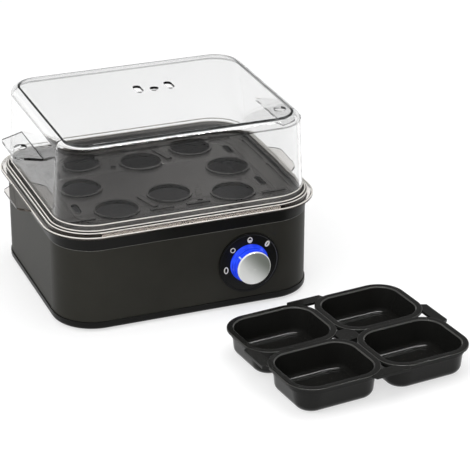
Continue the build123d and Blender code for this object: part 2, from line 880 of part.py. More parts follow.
save(knob_skirt.part, "knob_skirt")

with BuildPart() as knob_cap:
    with BuildSketch(knob_plane) as cap_section:
        with BuildLine():
            crown = TangentArc((0, -knob_front), (cap_radius, cap_crown - knob_front), tangent=(1, 0))
            Polyline(
                crown @ 1,
                (cap_radius, -skirt_front),
                (cap_seat_radius - slip_gap, -skirt_front),
                (cap_seat_radius - slip_gap, -cap_back),
                (0, -cap_back),
                crown @ 0,
            )
        make_face()
        fillet(cap_section.vertices().group_by(Axis.X)[-1].sort_by(Axis.Y)[0], radius=cap_round)
    revolve(axis=knob_axis)
save(knob_cap.part, "knob_cap")

# Terminal block on its pad, with ears for two screws
block_bottom = floor_top + block_pad_height
pole_places = [block_y + step * block_pole_pitch for step in (-1, 0, 1)]
wire_z = block_bottom + block_wire_height
with BuildPart() as terminal_block:
    with BuildSketch(Plane.XY.offset(block_bottom)):
        with Locations((block_x, block_y)):
            Rectangle(block_width, block_length)
    extrude(amount=block_height)
    with BuildSketch(Plane.XY.offset(block_bottom)):
        with Locations((block_x, block_y)):
            Rectangle(block_ear_width, block_length + 2 * block_ear)
    extrude(amount=block_ear_wall)
    with BuildSketch(Plane.XY.offset(block_bottom)):
        with Locations(*block_screw_places):
            Circle(block_screw_radius + thread_gap)
    extrude(amount=block_ear_wall, mode=Mode.SUBTRACT)
    with BuildSketch(Plane.XY.offset(block_bottom + block_height)):
        with Locations(*[(block_x, y) for y in pole_places]):
            Circle(block_screw_well_radius)
    extrude(amount=-block_screw_well_depth, mode=Mode.SUBTRACT)
    with BuildSketch(Plane.YZ.offset(block_x - block_width / 2)):
        with Locations(*[(y, wire_z) for y in pole_places]):
            Circle(block_wire_radius)
    extrude(amount=block_width, mode=Mode.SUBTRACT)
save(terminal_block.part, "terminal_block")

with BuildPart() as block_screws:
    with BuildSketch(Plane.XY.offset(block_bottom + block_ear_wall)):
        with Locations(*block_screw_places):
            Circle(block_screw_head_radius)
    extrude(amount=block_screw_head)
    with BuildSketch(Plane.XY.offset(block_bottom + block_ear_wall)):
        with Locations(*block_screw_places):
            Circle(block_screw_radius)
    extrude(amount=-block_ear_wall - block_screw_grip)
save(block_screws.part, "block_screws")

# Cord inlet: gland through the back of the sleeve, and its nut inside
with BuildPart() as cord_gland:
    with BuildSketch(back_plane(back_y)):
        Circle(gland_flange_radius)
        Circle(gland_bore, mode=Mode.SUBTRACT)
    extrude(amount=gland_flange)
    with BuildSketch(back_plane(back_y)):
        Circle(gland_radius)
        Circle(gland_bore, mode=Mode.SUBTRACT)
    extrude(amount=-gland_length)
save(cord_gland.part, "cord_gland")

with BuildPart() as gland_nut:
    with BuildSketch(back_plane(back_y - shell_wall)):
        RegularPolygon(gland_nut_flat_radius, 6, major_radius=False)
        Circle(gland_radius + thread_gap, mode=Mode.SUBTRACT)
    extrude(amount=-gland_nut_height)
save(gland_nut.part, "gland_nut")

# Inner leads, from the block to the switch, the thermostat, the heater and a stud
pin_end_y = heater_end_y + pin_length
lead_rise_y = pin_end_y + lead_rise
block_exit = block_x + block_width / 4
blade_end = dish_bottom - thermostat_height - blade_length
switch_tab_z = dial_z - switch_tab_drop
live_x = dial_x - switch_tab_spread / 2
switched_x = dial_x + switch_tab_spread / 2
stud_end = shield_top - shield_wall - stud_tail
routes = {
    "lead_live": [
        (block_exit, pole_places[0], wire_z),
        (2, pole_places[0], wire_z),
        (24, 6, 20),
        (live_x, -28, switch_tab_z),
        (live_x, switch_back, switch_tab_z),
    ],
    "lead_switched": [
        (switched_x, switch_back, switch_tab_z),
        (switched_x, -36, switch_tab_z),
        (32, -14, 24),
        (blade_spread / 2, 0, 22),
        (blade_spread / 2, 0, blade_end),
    ],
    "lead_heater": [
        (-blade_spread / 2, 0, blade_end),
        (-blade_spread / 2, 0, 24),
        (-10, 40, 24),
        (-end_x, lead_rise_y, 32),
        (-end_x, lead_rise_y, heater_z),
        (-end_x, pin_end_y, heater_z),
    ],
    "lead_neutral": [
        (block_exit, pole_places[2], wire_z),
        (2, pole_places[2], wire_z),
        (end_x, lead_rise_y, 22),
        (end_x, lead_rise_y, heater_z),
        (end_x, pin_end_y, heater_z),
    ],
    "lead_earth": [
        (block_exit, pole_places[1], wire_z),
        (6, pole_places[1], wire_z),
        (36, 40, 18),
        (stud_span_x / 2, stud_span_y / 2, 22),
        (stud_span_x / 2, stud_span_y / 2, stud_end),
    ],
}
for lead_name, route in routes.items():
    with BuildPart() as lead:
        with BuildLine() as lead_path:
            FilletPolyline(*route, radius=lead_bend)
        with BuildSketch(Plane(origin=lead_path.line @ 0, z_dir=lead_path.line % 0)):
            Circle(lead_radius)
        sweep()
    save(lead.part, lead_name)

# Fuse in its sleeve, on the upright run of the neutral lead
with BuildPart() as thermal_fuse:
    with BuildSketch(Plane.XY.offset(heater_z - lead_bend - fuse_length - slip_gap)):
        with Locations((end_x, lead_rise_y)):
            Circle(fuse_radius)
            Circle(lead_radius + slip_gap, mode=Mode.SUBTRACT)
    extrude(amount=fuse_length)
save(thermal_fuse.part, "thermal_fuse")

# Egg tray: floor with eight seats and steam slots, stepped rim that droops, and side tabs
signs = [(sx, sy) for sx in (-1, 1) for sy in (-1, 1)]


def tray_places(x_share, y_share):
    """Four places on the tray's floor, one in each quarter, as shares of the opening below it."""
    return [(sx * x_share * opening_half_width, sy * y_share * opening_half_depth) for sx, sy in signs]


seat_places = tray_places(seat_corner_x_share, seat_corner_y_share)
seat_places += [(0, s * seat_middle_y_share * opening_half_depth) for s in (-1, 1)]
seat_places += [(s * seat_side_x_share * opening_half_width, 0) for s in (-1, 1)]
side_slot_x = half_width - side_slot_inset
tab_root = half_width + tray_skirt_out - tray_step_out
tray_tab_reach = tab_root + tray_tab_out
side_slot_y = side_slot_y_share * half_depth
rim_top = tray_bottom + tray_rim_height
skirt_bottom = tray_bottom + tray_skirt_drop
step_z = rim_top - tray_step_height
bead_z = skirt_bottom + tray_step_height
with BuildPart() as egg_tray:
    with BuildSketch(Plane.XY.offset(tray_bottom)):
        body_outline(0)
    extrude(amount=tray_floor)
    with BuildSketch(rim_plane):
        with BuildLine():
            Polyline(
                (-tray_rim_in, tray_bottom),
                (-tray_rim_in, rim_top),
                (tray_rim_out, rim_top),
                (tray_rim_out, step_z),
                (tray_rim_out + tray_step_out, step_z),
                (tray_skirt_out - tray_step_out, bead_z),
                (tray_skirt_out, bead_z),
                (tray_skirt_out, skirt_bottom),
                (tray_skirt_out - tray_step_out - tray_skirt_wall, skirt_bottom),
                (tray_rim_out, step_z - tray_skirt_wall),
                (tray_rim_out, tray_bottom),
                close=True,
            )
        make_face()
    sweep(path=rim_path.wire())
    with BuildSketch(Plane.XY.offset(tray_bottom)):
        dish_outline(-collar_lip - tray_spigot_gap)
        dish_outline(-collar_lip - tray_spigot_gap - tray_spigot_wall, Mode.SUBTRACT)
    extrude(amount=-tray_spigot_drop)
    with BuildSketch(Plane.XY.offset(tray_top)):
        with Locations(*seat_places):
            Circle(seat_radius + seat_rib)
    extrude(amount=seat_rib_height)
    with BuildSketch(Plane.XY.offset(tray_top)):
        with Locations(*tray_places(steam_rib_x_share, steam_rib_y_share)):
            Rectangle(steam_rib_length, steam_rib_width)
        with Locations(*tray_places(bone_bar_x_share, steam_rib_y_share)):
            Rectangle(steam_rib_length, steam_rib_width)
        for (sx, sy), place in zip(signs, tray_places(bone_x_share, bone_y_share)):
            with Locations(place):
                Rectangle(bone_width, bone_length, rotation=sx * sy * bone_lean)
    extrude(amount=steam_rib_height)
    with BuildSketch(Plane.XY.offset(tray_bottom)):
        with Locations(*seat_places):
            Circle(seat_radius)
        with Locations(*tray_places(steam_slot_x_share, steam_slot_y_share)):
            SlotOverall(steam_slot_length, steam_slot_width, rotation=90)
    extrude(amount=tray_floor + seat_rib_height, mode=Mode.SUBTRACT)
    with BuildSketch(Plane.XY.offset(tray_top - side_slot_depth)):
        with Locations(*[(sx * side_slot_x, sy * side_slot_y) for sx, sy in signs]):
            SlotOverall(side_slot_length, side_slot_width, rotation=90)
    extrude(amount=side_slot_depth, mode=Mode.SUBTRACT)
    with BuildSketch(Plane.XY.offset(skirt_bottom)) as tray_tabs:
        for side in (-1, 1):
            with BuildLine():
                Polyline(
                    (side * tab_root, -tray_tab_length / 2),
                    (side * tray_tab_reach, -tray_tab_tip / 2),
                    (side * tray_tab_reach, tray_tab_tip / 2),
                    (side * tab_root, tray_tab_length / 2),
                    close=True,
                )
            make_face()
        fillet(tray_tabs.vertices().group_by(Axis.X)[0], radius=tray_tab_round)
        fillet(tray_tabs.vertices().group_by(Axis.X)[-1], radius=tray_tab_round)
    extrude(amount=tray_tab_wall)
save(egg_tray.part, "egg_tray")

# Lid: drawn-in walls, rounded top, two flat side tabs and the vents
lid_base_inset = tray_rim_in + lid_side_gap
lid_base_width = body_width - 2 * lid_base_inset
lid_base_depth = body_depth - 2 * lid_base_inset
lid_base_radius = body_radius - lid_base_inset
lid_top_width = lid_base_width - 2 * lid_draw
lid_top_depth = lid_base_depth - 2 * lid_draw
lid_tab_reach = lid_top_width / 2 + lid_tab_out
lid_tab_hole_x = lid_top_width / 2 + lid_tab_hole_out
with BuildPart() as lid_hollow:
    with BuildSketch(Plane.XY.offset(lid_bottom)):
        rounded(lid_base_width, lid_base_depth, lid_base_radius, -lid_wall)
    with BuildSketch(Plane.XY.offset(lid_bottom + lid_height - lid_wall)):
        rounded(lid_top_width, lid_top_depth, lid_top_radius, -lid_wall)
    loft(ruled=True)
    fillet(lid_hollow.faces().sort_by(Axis.Z)[-1].edges(), radius=lid_round - lid_wall)
with BuildPart() as lid:
    with BuildSketch(Plane.XY.offset(lid_bottom)):
        rounded(lid_base_width, lid_base_depth, lid_base_radius, 0)
    with BuildSketch(Plane.XY.offset(lid_bottom + lid_height)):
        rounded(lid_top_width, lid_top_depth, lid_top_radius, 0)
    loft(ruled=True)
    fillet(lid.faces().sort_by(Axis.Z)[-1].edges(), radius=lid_round)
    with BuildSketch(Plane.XY.offset(lid_bottom + lid_tab_rise)) as lid_tabs:
        for side in (-1, 1):
            with BuildLine():
                tip = Line(
                    (side * lid_tab_reach, -lid_tab_tip / 2),
                    (side * lid_tab_reach, lid_tab_tip / 2),
                )
                root_x = side * (lid_top_width / 2)
                far_edge = ThreePointArc(
                    tip @ 1, (side * lid_tab_hole_x, lid_tab_waist / 2), (root_x, lid_tab_length / 2)
                )
                root = Line(far_edge @ 1, (root_x, -lid_tab_length / 2))
                ThreePointArc(root @ 1, (side * lid_tab_hole_x, -lid_tab_waist / 2), tip @ 0)
            make_face()
        fillet(lid_tabs.vertices().group_by(Axis.X)[0], radius=lid_tab_round)
        fillet(lid_tabs.vertices().group_by(Axis.X)[-1], radius=lid_tab_round)
        with Locations((-lid_tab_hole_x, 0), (lid_tab_hole_x, 0)):
            Circle(lid_tab_hole_radius, mode=Mode.SUBTRACT)
    extrude(amount=lid_tab_wall)
    add(lid_hollow.part, mode=Mode.SUBTRACT)
    with BuildSketch(Plane.XY.offset(lid_bottom + lid_height - lid_wall)):
        with Locations((vent_slot_left, vent_slot_y), (vent_slot_right, vent_slot_y)):
            SlotOverall(vent_slot_length, vent_slot_width, rotation=90)
        with Locations((vent_hole_x, vent_hole_y)):
            Circle(vent_hole_radius)
    extrude(amount=lid_wall, mode=Mode.SUBTRACT)
save(lid.part, "lid")

# Poaching tray: four tapered cups with banded rims, joined by a hub and side tabs
turn = radians(poach_turn)
poach_place = (poach_x, front_y - poach_ahead, 0)
poach_plane = Plane(origin=poach_place, x_dir=(cos(turn), sin(turn), 0), z_dir=(0, 0, 1))
band_bottom = poach_height - cup_band
cup_pitch_x = cup_mouth_width + 2 * cup_lip - lip_merge_x
cup_pitch_y = cup_mouth_depth + 2 * cup_lip - lip_merge_y
cup_foot_width = cup_mouth_width + 2 * (cup_wall - cup_draft_x)
cup_foot_depth = cup_mouth_depth + 2 * (cup_wall - cup_draft_y)
poach_tab_reach_x = (cup_pitch_x + cup_mouth_width) / 2 + cup_lip + poach_tab_out_x
poach_tab_reach_y = (cup_pitch_y + cup_mouth_depth) / 2 + cup_lip + poach_tab_out_y
web_bottom = poach_height - poach_web_drop - poach_web
cups = GridLocations(cup_pitch_x, cup_pitch_y, 2, 2).locations
poach_tabs = [
    (0, poach_tab_reach_x), (90, poach_tab_reach_y), (180, poach_tab_reach_x), (270, poach_tab_reach_y)
]


def poach_tab(angle, reach):
    """One side tab of the poaching tray, from above."""
    tab_inner = reach - poach_tab_depth / 2
    root = poach_tab_root / 2
    tip = poach_tab_tip / 2
    corners = [(tab_inner, -root), (reach, -tip), (reach, tip), (tab_inner, root)]
    Polygon(*corners, rotation=angle, align=None)


with BuildPart() as cup:
    with BuildSketch():
        rounded(cup_foot_width, cup_foot_depth, cup_foot_radius, 0)
    with BuildSketch(Plane.XY.offset(poach_height)):
        rounded(cup_mouth_width, cup_mouth_depth, cup_mouth_radius, cup_wall)
    loft(ruled=True)
    fillet(cup.faces().sort_by(Axis.Z)[0].edges(), radius=cup_outer_fillet)
    with BuildSketch(Plane.XY.offset(band_bottom)):
        rounded(cup_mouth_width, cup_mouth_depth, cup_mouth_radius, cup_rim)
    extrude(amount=cup_band)
    with BuildSketch(Plane.XY.offset(poach_height - cup_lip_height)):
        rounded(cup_mouth_width, cup_mouth_depth, cup_mouth_radius, cup_lip)
    extrude(amount=cup_lip_height)
    fillet(cup.faces().sort_by(Axis.Z)[-1].edges(), radius=cup_lip_round)
with BuildPart() as cup_hollow:
    with BuildSketch(Plane.XY.offset(cup_wall)):
        rounded(cup_foot_width, cup_foot_depth, cup_foot_radius, -cup_wall)
    with BuildSketch(Plane.XY.offset(poach_height)):
        rounded(cup_mouth_width, cup_mouth_depth, cup_mouth_radius, 0)
    loft(ruled=True)
    fillet(cup_hollow.faces().sort_by(Axis.Z)[0].edges(), radius=cup_inner_fillet)
    with BuildSketch(Plane.XY.offset(poach_height - cup_lip_chamfer)):
        rounded(cup_mouth_width, cup_mouth_depth, cup_mouth_radius, 0)
    with BuildSketch(Plane.XY.offset(poach_height)):
        rounded(cup_mouth_width, cup_mouth_depth, cup_mouth_radius, cup_lip_chamfer)
    loft(ruled=True)
with BuildPart() as poaching_tray:
    with BuildSketch(poach_plane.offset(web_bottom)):
        Rectangle(poach_hub, poach_hub)
        for angle, reach in poach_tabs:
            poach_tab(angle, reach)
    extrude(amount=poach_web)
    for place in cups:
        add((poach_plane.location * place) * cup.part)
    for place in cups:
        add((poach_plane.location * place) * cup_hollow.part, mode=Mode.SUBTRACT)
save(poaching_tray.part, "poaching_tray")
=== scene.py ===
import math

import bmesh
import bpy
from mathutils import Matrix, Vector


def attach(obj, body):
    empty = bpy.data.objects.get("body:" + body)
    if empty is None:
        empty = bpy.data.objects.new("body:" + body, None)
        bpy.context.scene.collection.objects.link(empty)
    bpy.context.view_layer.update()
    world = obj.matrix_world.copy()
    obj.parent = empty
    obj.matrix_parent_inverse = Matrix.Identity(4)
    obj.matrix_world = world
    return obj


# Electric egg cooker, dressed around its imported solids. Metres, +Z up, front at -Y.

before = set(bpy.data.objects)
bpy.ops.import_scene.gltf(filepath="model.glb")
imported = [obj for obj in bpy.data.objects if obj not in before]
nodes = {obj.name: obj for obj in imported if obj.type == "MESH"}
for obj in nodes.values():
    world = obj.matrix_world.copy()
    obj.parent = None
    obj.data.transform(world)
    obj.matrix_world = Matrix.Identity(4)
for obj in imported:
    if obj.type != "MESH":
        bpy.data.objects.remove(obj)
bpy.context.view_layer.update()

MM = 0.001

# Camera, at the photograph's viewing angle
CAMERA_SENSOR = 36.0
CAMERA_LENS = 151.34
CAMERA_REACH = 50.0
CAMERA_PLACE = Vector((-0.4458, -1.2935, 0.6635))
CAMERA_YAW = math.radians(21.559)
CAMERA_PITCH = math.radians(24.921)
CAMERA_ROLL = math.radians(0.149)

# Floor, and the light from all round. The lift is added to the floor where it is seen, not where it lights.
FLOOR_SIZE = 9.0
FLOOR_DROP = 0.1 * MM
FLOOR_COLOUR = (0.42, 0.42, 0.42, 1.0)
FLOOR_ROUGHNESS = 0.9
FLOOR_LIFT = 0.6
WORLD_LIGHT = 0.55

# Tent: its strength above the white band and overhead, the degrees above the horizon at which it begins, at
# which the white band ends and between which it turns dark, and the patches in its strength
TENT_RADIUS = 3.5
TENT_RINGS = 12
TENT_SIDES = 48
TENT_PALE = 0.3
TENT_DARK = 0.08
TENT_START = 12.0
TENT_WHITE_END = 20.0
TENT_DARKENS = (30.0, 50.0)
TENT_PATCHES = (0.35, 1.5)
TENT_PATCH_SCALE = 2.6

# Level strips overhead: near left corner, far right corner, height and strength
STRIPS = {
    "strip": ((-0.5, -0.56), (1.3, -0.46), 1.5, 70.0),
    "panel": ((0.2, -0.28), (0.65, -0.06), 1.5, 6.0),
}

# Lamps: place, aim, size and power
LAMPS = {
    "key": ((-1.1, -0.5, 1.5), (0.0, -0.05, 0.05), 1.4, 15.5),
    "fill": ((-0.9, -1.8, 0.7), (0.0, -0.1, 0.05), 1.2, 12.0),
    "top": ((0.4, 0.0, 1.9), (0.0, -0.05, 0.0), 1.6, 20.0),
}

# Painted lines that materials draw on edges, as bands of the normal's rise, which is 0 on upright walls and 1
# on
# level ones: start, full, fade, end and weight. The lid's and the tray's are painted shade, the sleeve's and
# the cups' are painted highlights
LID_SHADE_BANDS = ((0.964, 0.973, 0.9945, 0.9985, 1.0), (0.08, 0.12, 0.18, 0.25, 0.7))
TRAY_SHADE_BANDS = ((-0.2, -0.1, 0.15, 0.3, 0.9),)
SLEEVE_HIGHLIGHT_BANDS = ((0.1, 0.5, 0.6, 1.0, 1.0),)
CUP_HIGHLIGHT_BANDS = ((0.2, 0.5, 0.7, 0.97, 1.0),)

# Heights where the painted shade at the lid's foot ends, and where the cups' rims, which get a painted
# highlight, begin
LID_FOOT = (77.6 * MM, 77.0 * MM)
CUP_RIM = (19.0 * MM, 19.5 * MM)

# Dark walls seen edge on, as painted shade: from which facing to which, and how much
GRAZING = (0.8, 0.97)
GRAZING_WEIGHT = 0.75

# Dial, as in the part, with a painted highlight line inside its rim: the radii where it starts and ends, and
# the reach over which it fades
DIAL_MIDDLE = Vector((0.0427, -0.08375, 0.0358))
DIAL_FACE = -0.08525
RING_STARTS = (21.7 * MM, 22.0 * MM)
RING_ENDS = (22.4 * MM, 22.1 * MM)
RING_FADE = 30.0 * MM

# Marks on the dial: angle anticlockwise from the right, radius, half sizes of the outer and the inner oval in
# millimetres, lean to the right in degrees, and whether the lower half is filled
MARKS = {
    "mark_off": (191.0, 18.3, (1.75, 2.7), (1.0, 1.95), 0.0, False),
    "mark_soft": (137.0, 17.4, (2.0, 2.0), (1.4, 1.4), 0.0, False),
    "mark_medium": (88.0, 18.0, (2.0, 2.35), (1.28, 1.63), 0.0, True),
    "mark_hard": (42.0, 19.2, (1.75, 2.45), (0.4, 1.45), 32.0, False),
}
MARK_RAISE = 0.12 * MM
MARK_SINK = 0.05 * MM
MARK_STEPS = 40

# Pointer on the knob: its angle, each end's distance ahead of the body and radius on the skirt, its width,
# height and depth, in millimetres, and its width on top as a share
POINTER_TURN = 139.0
POINTER_ENDS = ((7.6, 13.46), (10.7, 12.68))
POINTER_WIDTH = 1.3
POINTER_RAISE = 0.22
POINTER_SINK = 0.3
POINTER_TAPER = 0.8

# Outline of the body, and the painted highlights along the edges of the clear pieces that follow it, as thin
# pale
# tubes: body, slot, distance out of the outline, height and radius, in millimetres
BODY_HALF = (98.0, 83.75)
BODY_RADIUS = 31.2
EDGE_HIGHLIGHTS = {
    "tray_highlight_top": ("tray", "smoky_plastic", -0.3, 79.4, 0.5),
    "tray_highlight_step": ("tray", "smoky_plastic", 1.35, 78.2, 0.45),
    "tray_highlight_foot": ("tray", "smoky_plastic", 5.1, 76.2, 0.55),
    "lid_highlight_foot": ("lid", "clear_plastic", -2.3, 82.8, 0.45),
}
HIGHLIGHT_SIDES = 10
HIGHLIGHT_CORNER = 14


def new_material(name):
    """A material with an empty tree, its output and a Principled shader."""
    mat = bpy.data.materials.new(name)
    mat.use_nodes = True
    tree = mat.node_tree
    tree.nodes.clear()
    out = tree.nodes.new("ShaderNodeOutputMaterial")
    shader = tree.nodes.new("ShaderNodeBsdfPrincipled")
    tree.links.new(shader.outputs["BSDF"], out.inputs["Surface"])
    return mat, tree, out, shader


def object_coords(tree, stretch=(1.0, 1.0, 1.0)):
    """Object coordinates, stretched along the axes."""
    coords = tree.nodes.new("ShaderNodeTexCoord")
    mapping = tree.nodes.new("ShaderNodeMapping")
    mapping.inputs["Scale"].default_value = stretch
    tree.links.new(coords.outputs["Object"], mapping.inputs["Vector"])
    return mapping.outputs["Vector"]


def split_vector(tree, vector):
    """The X, Y and Z sockets of a vector."""
    split = tree.nodes.new("ShaderNodeSeparateXYZ")
    tree.links.new(vector, split.inputs["Vector"])
    return split.outputs


def noise(tree, vector, scale, detail=3.0):
    """A noise texture's value."""
    tex = tree.nodes.new("ShaderNodeTexNoise")
    tex.inputs["Scale"].default_value = scale
    tex.inputs["Detail"].default_value = detail
    tex.inputs["Roughness"].default_value = 0.55
    tree.links.new(vector, tex.inputs["Vector"])
    return tex.outputs["Fac"]


def ranged(tree, value, low, high, spread=0.25):
    """A value around one half, mapped to a range."""
    mapped = tree.nodes.new("ShaderNodeMapRange")
    mapped.inputs["From Min"].default_value = 0.5 - spread
    mapped.inputs["From Max"].default_value = 0.5 + spread
    mapped.inputs["To Min"].default_value = low
    mapped.inputs["To Max"].default_value = high
    tree.links.new(value, mapped.inputs["Value"])
    return mapped.outputs["Result"]


def stepped(tree, value, low, high):
    """A smooth step from 0 at one value to 1 at another."""
    step = tree.nodes.new("ShaderNodeMapRange")
    step.interpolation_type = "SMOOTHSTEP"
    step.inputs["From Min"].default_value = min(low, high)
    step.inputs["From Max"].default_value = max(low, high)
    step.inputs["To Min"].default_value = 0.0 if low < high else 1.0
    step.inputs["To Max"].default_value = 1.0 if low < high else 0.0
    tree.links.new(value, step.inputs["Value"])
    return step.outputs["Result"]


def reckoned(tree, operation, *values):
    """The result of a math node on numbers and sockets."""
    node = tree.nodes.new("ShaderNodeMath")
    node.operation = operation
    for place, value in enumerate(values):
        if isinstance(value, float):
            node.inputs[place].default_value = value
        else:
            tree.links.new(value, node.inputs[place])
    return node.outputs["Value"]


def mixed_colour(tree, factor, first, second):
    """A colour between two, by a factor. The first is a colour or a socket."""
    mix = tree.nodes.new("ShaderNodeMix")
    mix.data_type = "RGBA"
    if isinstance(first, tuple):
        mix.inputs["A"].default_value = (*first, 1.0)
    else:
        tree.links.new(first, mix.inputs["A"])
    mix.inputs["B"].default_value = (*second, 1.0)
    tree.links.new(factor, mix.inputs["Factor"])
    return mix.outputs["Result"]


def mixed_shader(tree, factor, first, second):
    """A shader between two, by a factor."""
    mix = tree.nodes.new("ShaderNodeMixShader")
    tree.links.new(factor, mix.inputs["Fac"])
    tree.links.new(first, mix.inputs[1])
    tree.links.new(second, mix.inputs[2])
    return mix.outputs["Shader"]


def painted_edge_lines(tree, bands):
    """Painted lines on rounded edges, from bands of the normal's rise: painted highlights where their colour
    is light, painted shade where it is dark.
    """
    geometry = tree.nodes.new("ShaderNodeNewGeometry")
    rise = reckoned(tree, "ABSOLUTE", split_vector(tree, geometry.outputs["Normal"])["Z"])
    total = None
    for start, full, fade, end, weight in bands:
        up = stepped(tree, rise, start, full)
        down = stepped(tree, rise, end, fade)
        painted_line = reckoned(tree, "MULTIPLY", reckoned(tree, "MULTIPLY", up, down), weight)
        total = painted_line if total is None else reckoned(tree, "MAXIMUM", total, painted_line)
    return total


def bumped(tree, shader, height, strength, distance, edge=0.0):
    """A bump on the shader's normal, over edges that are rounded by a radius."""
    bump = tree.nodes.new("ShaderNodeBump")
    bump.inputs["Strength"].default_value = strength
    bump.inputs["Distance"].default_value = distance
    tree.links.new(height, bump.inputs["Height"])
    if edge:
        rounder = tree.nodes.new("ShaderNodeBevel")
        rounder.samples = 6
        rounder.inputs["Radius"].default_value = edge
        tree.links.new(rounder.outputs["Normal"], bump.inputs["Normal"])
    tree.links.new(bump.outputs["Normal"], shader.inputs["Normal"])


def solid_material(
    name,
    colour,
    variation=0.2,
    rough=(0.35, 0.5),
    grain=900.0,
    bump=0.1,
    bump_depth=0.05 * MM,
    metallic=0.0,
    specular=0.5,
    edge=0.3 * MM,
    stretch=(1.0, 1.0, 1.0),
    coat=0.0,
    painted_line=None,
):
    """An opaque finish: cloudy colour, patchy roughness and a fine grain.

    A painted line is (function that gives its mask, colour), a painted highlight drawn over the colour."""
    mat, tree, _, shader = new_material(name)
    vector = object_coords(tree, stretch)
    cloud = noise(tree, vector, scale=22.0, detail=4.0)
    fine = noise(tree, vector, scale=grain, detail=2.0)
    dark = tuple(c * (1.0 - variation) for c in colour)
    light = tuple(min(1.0, c * (1.0 + variation)) for c in colour)
    cloudy = mixed_colour(tree, ranged(tree, cloud, 0.0, 1.0), dark, light)
    if painted_line:
        mask, highlight_colour = painted_line
        cloudy = mixed_colour(tree, mask(tree), cloudy, highlight_colour)
    tree.links.new(cloudy, shader.inputs["Base Color"])
    tree.links.new(ranged(tree, fine, *rough), shader.inputs["Roughness"])
    shader.inputs["Metallic"].default_value = metallic
    shader.inputs["Specular IOR Level"].default_value = specular
    shader.inputs["Coat Weight"].default_value = coat
    bumped(tree, shader, fine, bump, bump_depth, edge)
    return mat


def clear_material(
    name,
    tint,
    lamp_tint,
    absorb,
    density,
    rough,
    ior,
    wave,
    shade_lines=None,
    gloss=(1.0, 1.0, 1.0),
):
    """Clear plastic: refracts, takes light along its walls and lets lamps through.

    Shade lines are painted shade, dark lines in the colour: (colour, bands of the normal's rise, heights of a
    dark foot or None). With a foot, walls seen edge on are painted darker too."""
    mat, tree, out, shader = new_material(name)
    vector = object_coords(tree)
    shader.inputs["Base Color"].default_value = (*tint, 1.0)
    shader.inputs["Transmission Weight"].default_value = 1.0
    shader.inputs["IOR"].default_value = ior
    shader.inputs["Specular Tint"].default_value = (*gloss, 1.0)
    if shade_lines:
        dark, bands, foot = shade_lines
        painted_shade = painted_edge_lines(tree, bands)
        if foot:
            low = stepped(tree, split_vector(tree, vector)["Z"], *foot)
            painted_shade = reckoned(tree, "MAXIMUM", painted_shade, low)
            facing = tree.nodes.new("ShaderNodeLayerWeight")
            grazing = stepped(tree, facing.outputs["Facing"], *GRAZING)
            painted_shade = reckoned(tree, "MAXIMUM", painted_shade, reckoned(tree, "MULTIPLY", grazing, GRAZING_WEIGHT))
        tree.links.new(mixed_colour(tree, painted_shade, tint, dark), shader.inputs["Base Color"])
    tree.links.new(ranged(tree, noise(tree, vector, scale=60.0), *rough), shader.inputs["Roughness"])
    bumped(tree, shader, noise(tree, vector, scale=35.0, detail=2.0), strength=wave, distance=0.4 * MM)
    lamp_side = tree.nodes.new("ShaderNodeBsdfTransparent")
    lamp_side.inputs["Color"].default_value = (*lamp_tint, 1.0)
    for_lamps = tree.nodes.new("ShaderNodeLightPath").outputs["Is Shadow Ray"]
    whole = mixed_shader(tree, for_lamps, shader.outputs["BSDF"], lamp_side.outputs["BSDF"])
    tree.links.new(whole, out.inputs["Surface"])
    inside = tree.nodes.new("ShaderNodeVolumeAbsorption")
    inside.inputs["Color"].default_value = (*absorb, 1.0)
    inside.inputs["Density"].default_value = density
    tree.links.new(inside.outputs["Volume"], out.inputs["Volume"])
    return mat


def glowing_material(name, colour, glow, bright, strength):
    """Translucent blue plastic with light behind it, in streaks."""
    mat, tree, _, shader = new_material(name)
    cloud = noise(tree, object_coords(tree), scale=160.0)
    streak = noise(tree, object_coords(tree, stretch=(1.0, 9.0, 1.0)), scale=90.0)
    shader.inputs["Base Color"].default_value = (*colour, 1.0)
    light = mixed_colour(tree, ranged(tree, streak, 0.0, 1.0, spread=0.2), glow, bright)
    tree.links.new(light, shader.inputs["Emission Color"])
    tree.links.new(ranged(tree, streak, *strength), shader.inputs["Emission Strength"])
    tree.links.new(ranged(tree, cloud, low=0.12, high=0.24), shader.inputs["Roughness"])
    bumped(tree, shader, cloud, strength=0.05, distance=0.1 * MM)
    return mat


def from_axis(tree):
    """The distance from the dial's axis."""
    coords = tree.nodes.new("ShaderNodeTexCoord")
    shift = tree.nodes.new("ShaderNodeVectorMath")
    shift.operation = "SUBTRACT"
    shift.inputs[1].default_value = DIAL_MIDDLE
    flat = tree.nodes.new("ShaderNodeVectorMath")
    flat.operation = "MULTIPLY"
    flat.inputs[1].default_value = (1.0, 0.0, 1.0)
    length = tree.nodes.new("ShaderNodeVectorMath")
    length.operation = "LENGTH"
    tree.links.new(coords.outputs["Object"], shift.inputs[0])
    tree.links.new(shift.outputs["Vector"], flat.inputs[0])
    tree.links.new(flat.outputs["Vector"], length.inputs[0])
    return length.outputs["Value"]


def across_dial(tree, reach):
    """From 0 at the dial's upper right to 1 at its lower left."""
    geometry = tree.nodes.new("ShaderNodeNewGeometry")
    place = split_vector(tree, geometry.outputs["Position"])
    slant = reckoned(tree, "ADD", place["X"], place["Z"])
    middle = DIAL_MIDDLE.x + DIAL_MIDDLE.z
    return stepped(tree, slant, middle + reach, middle - reach)


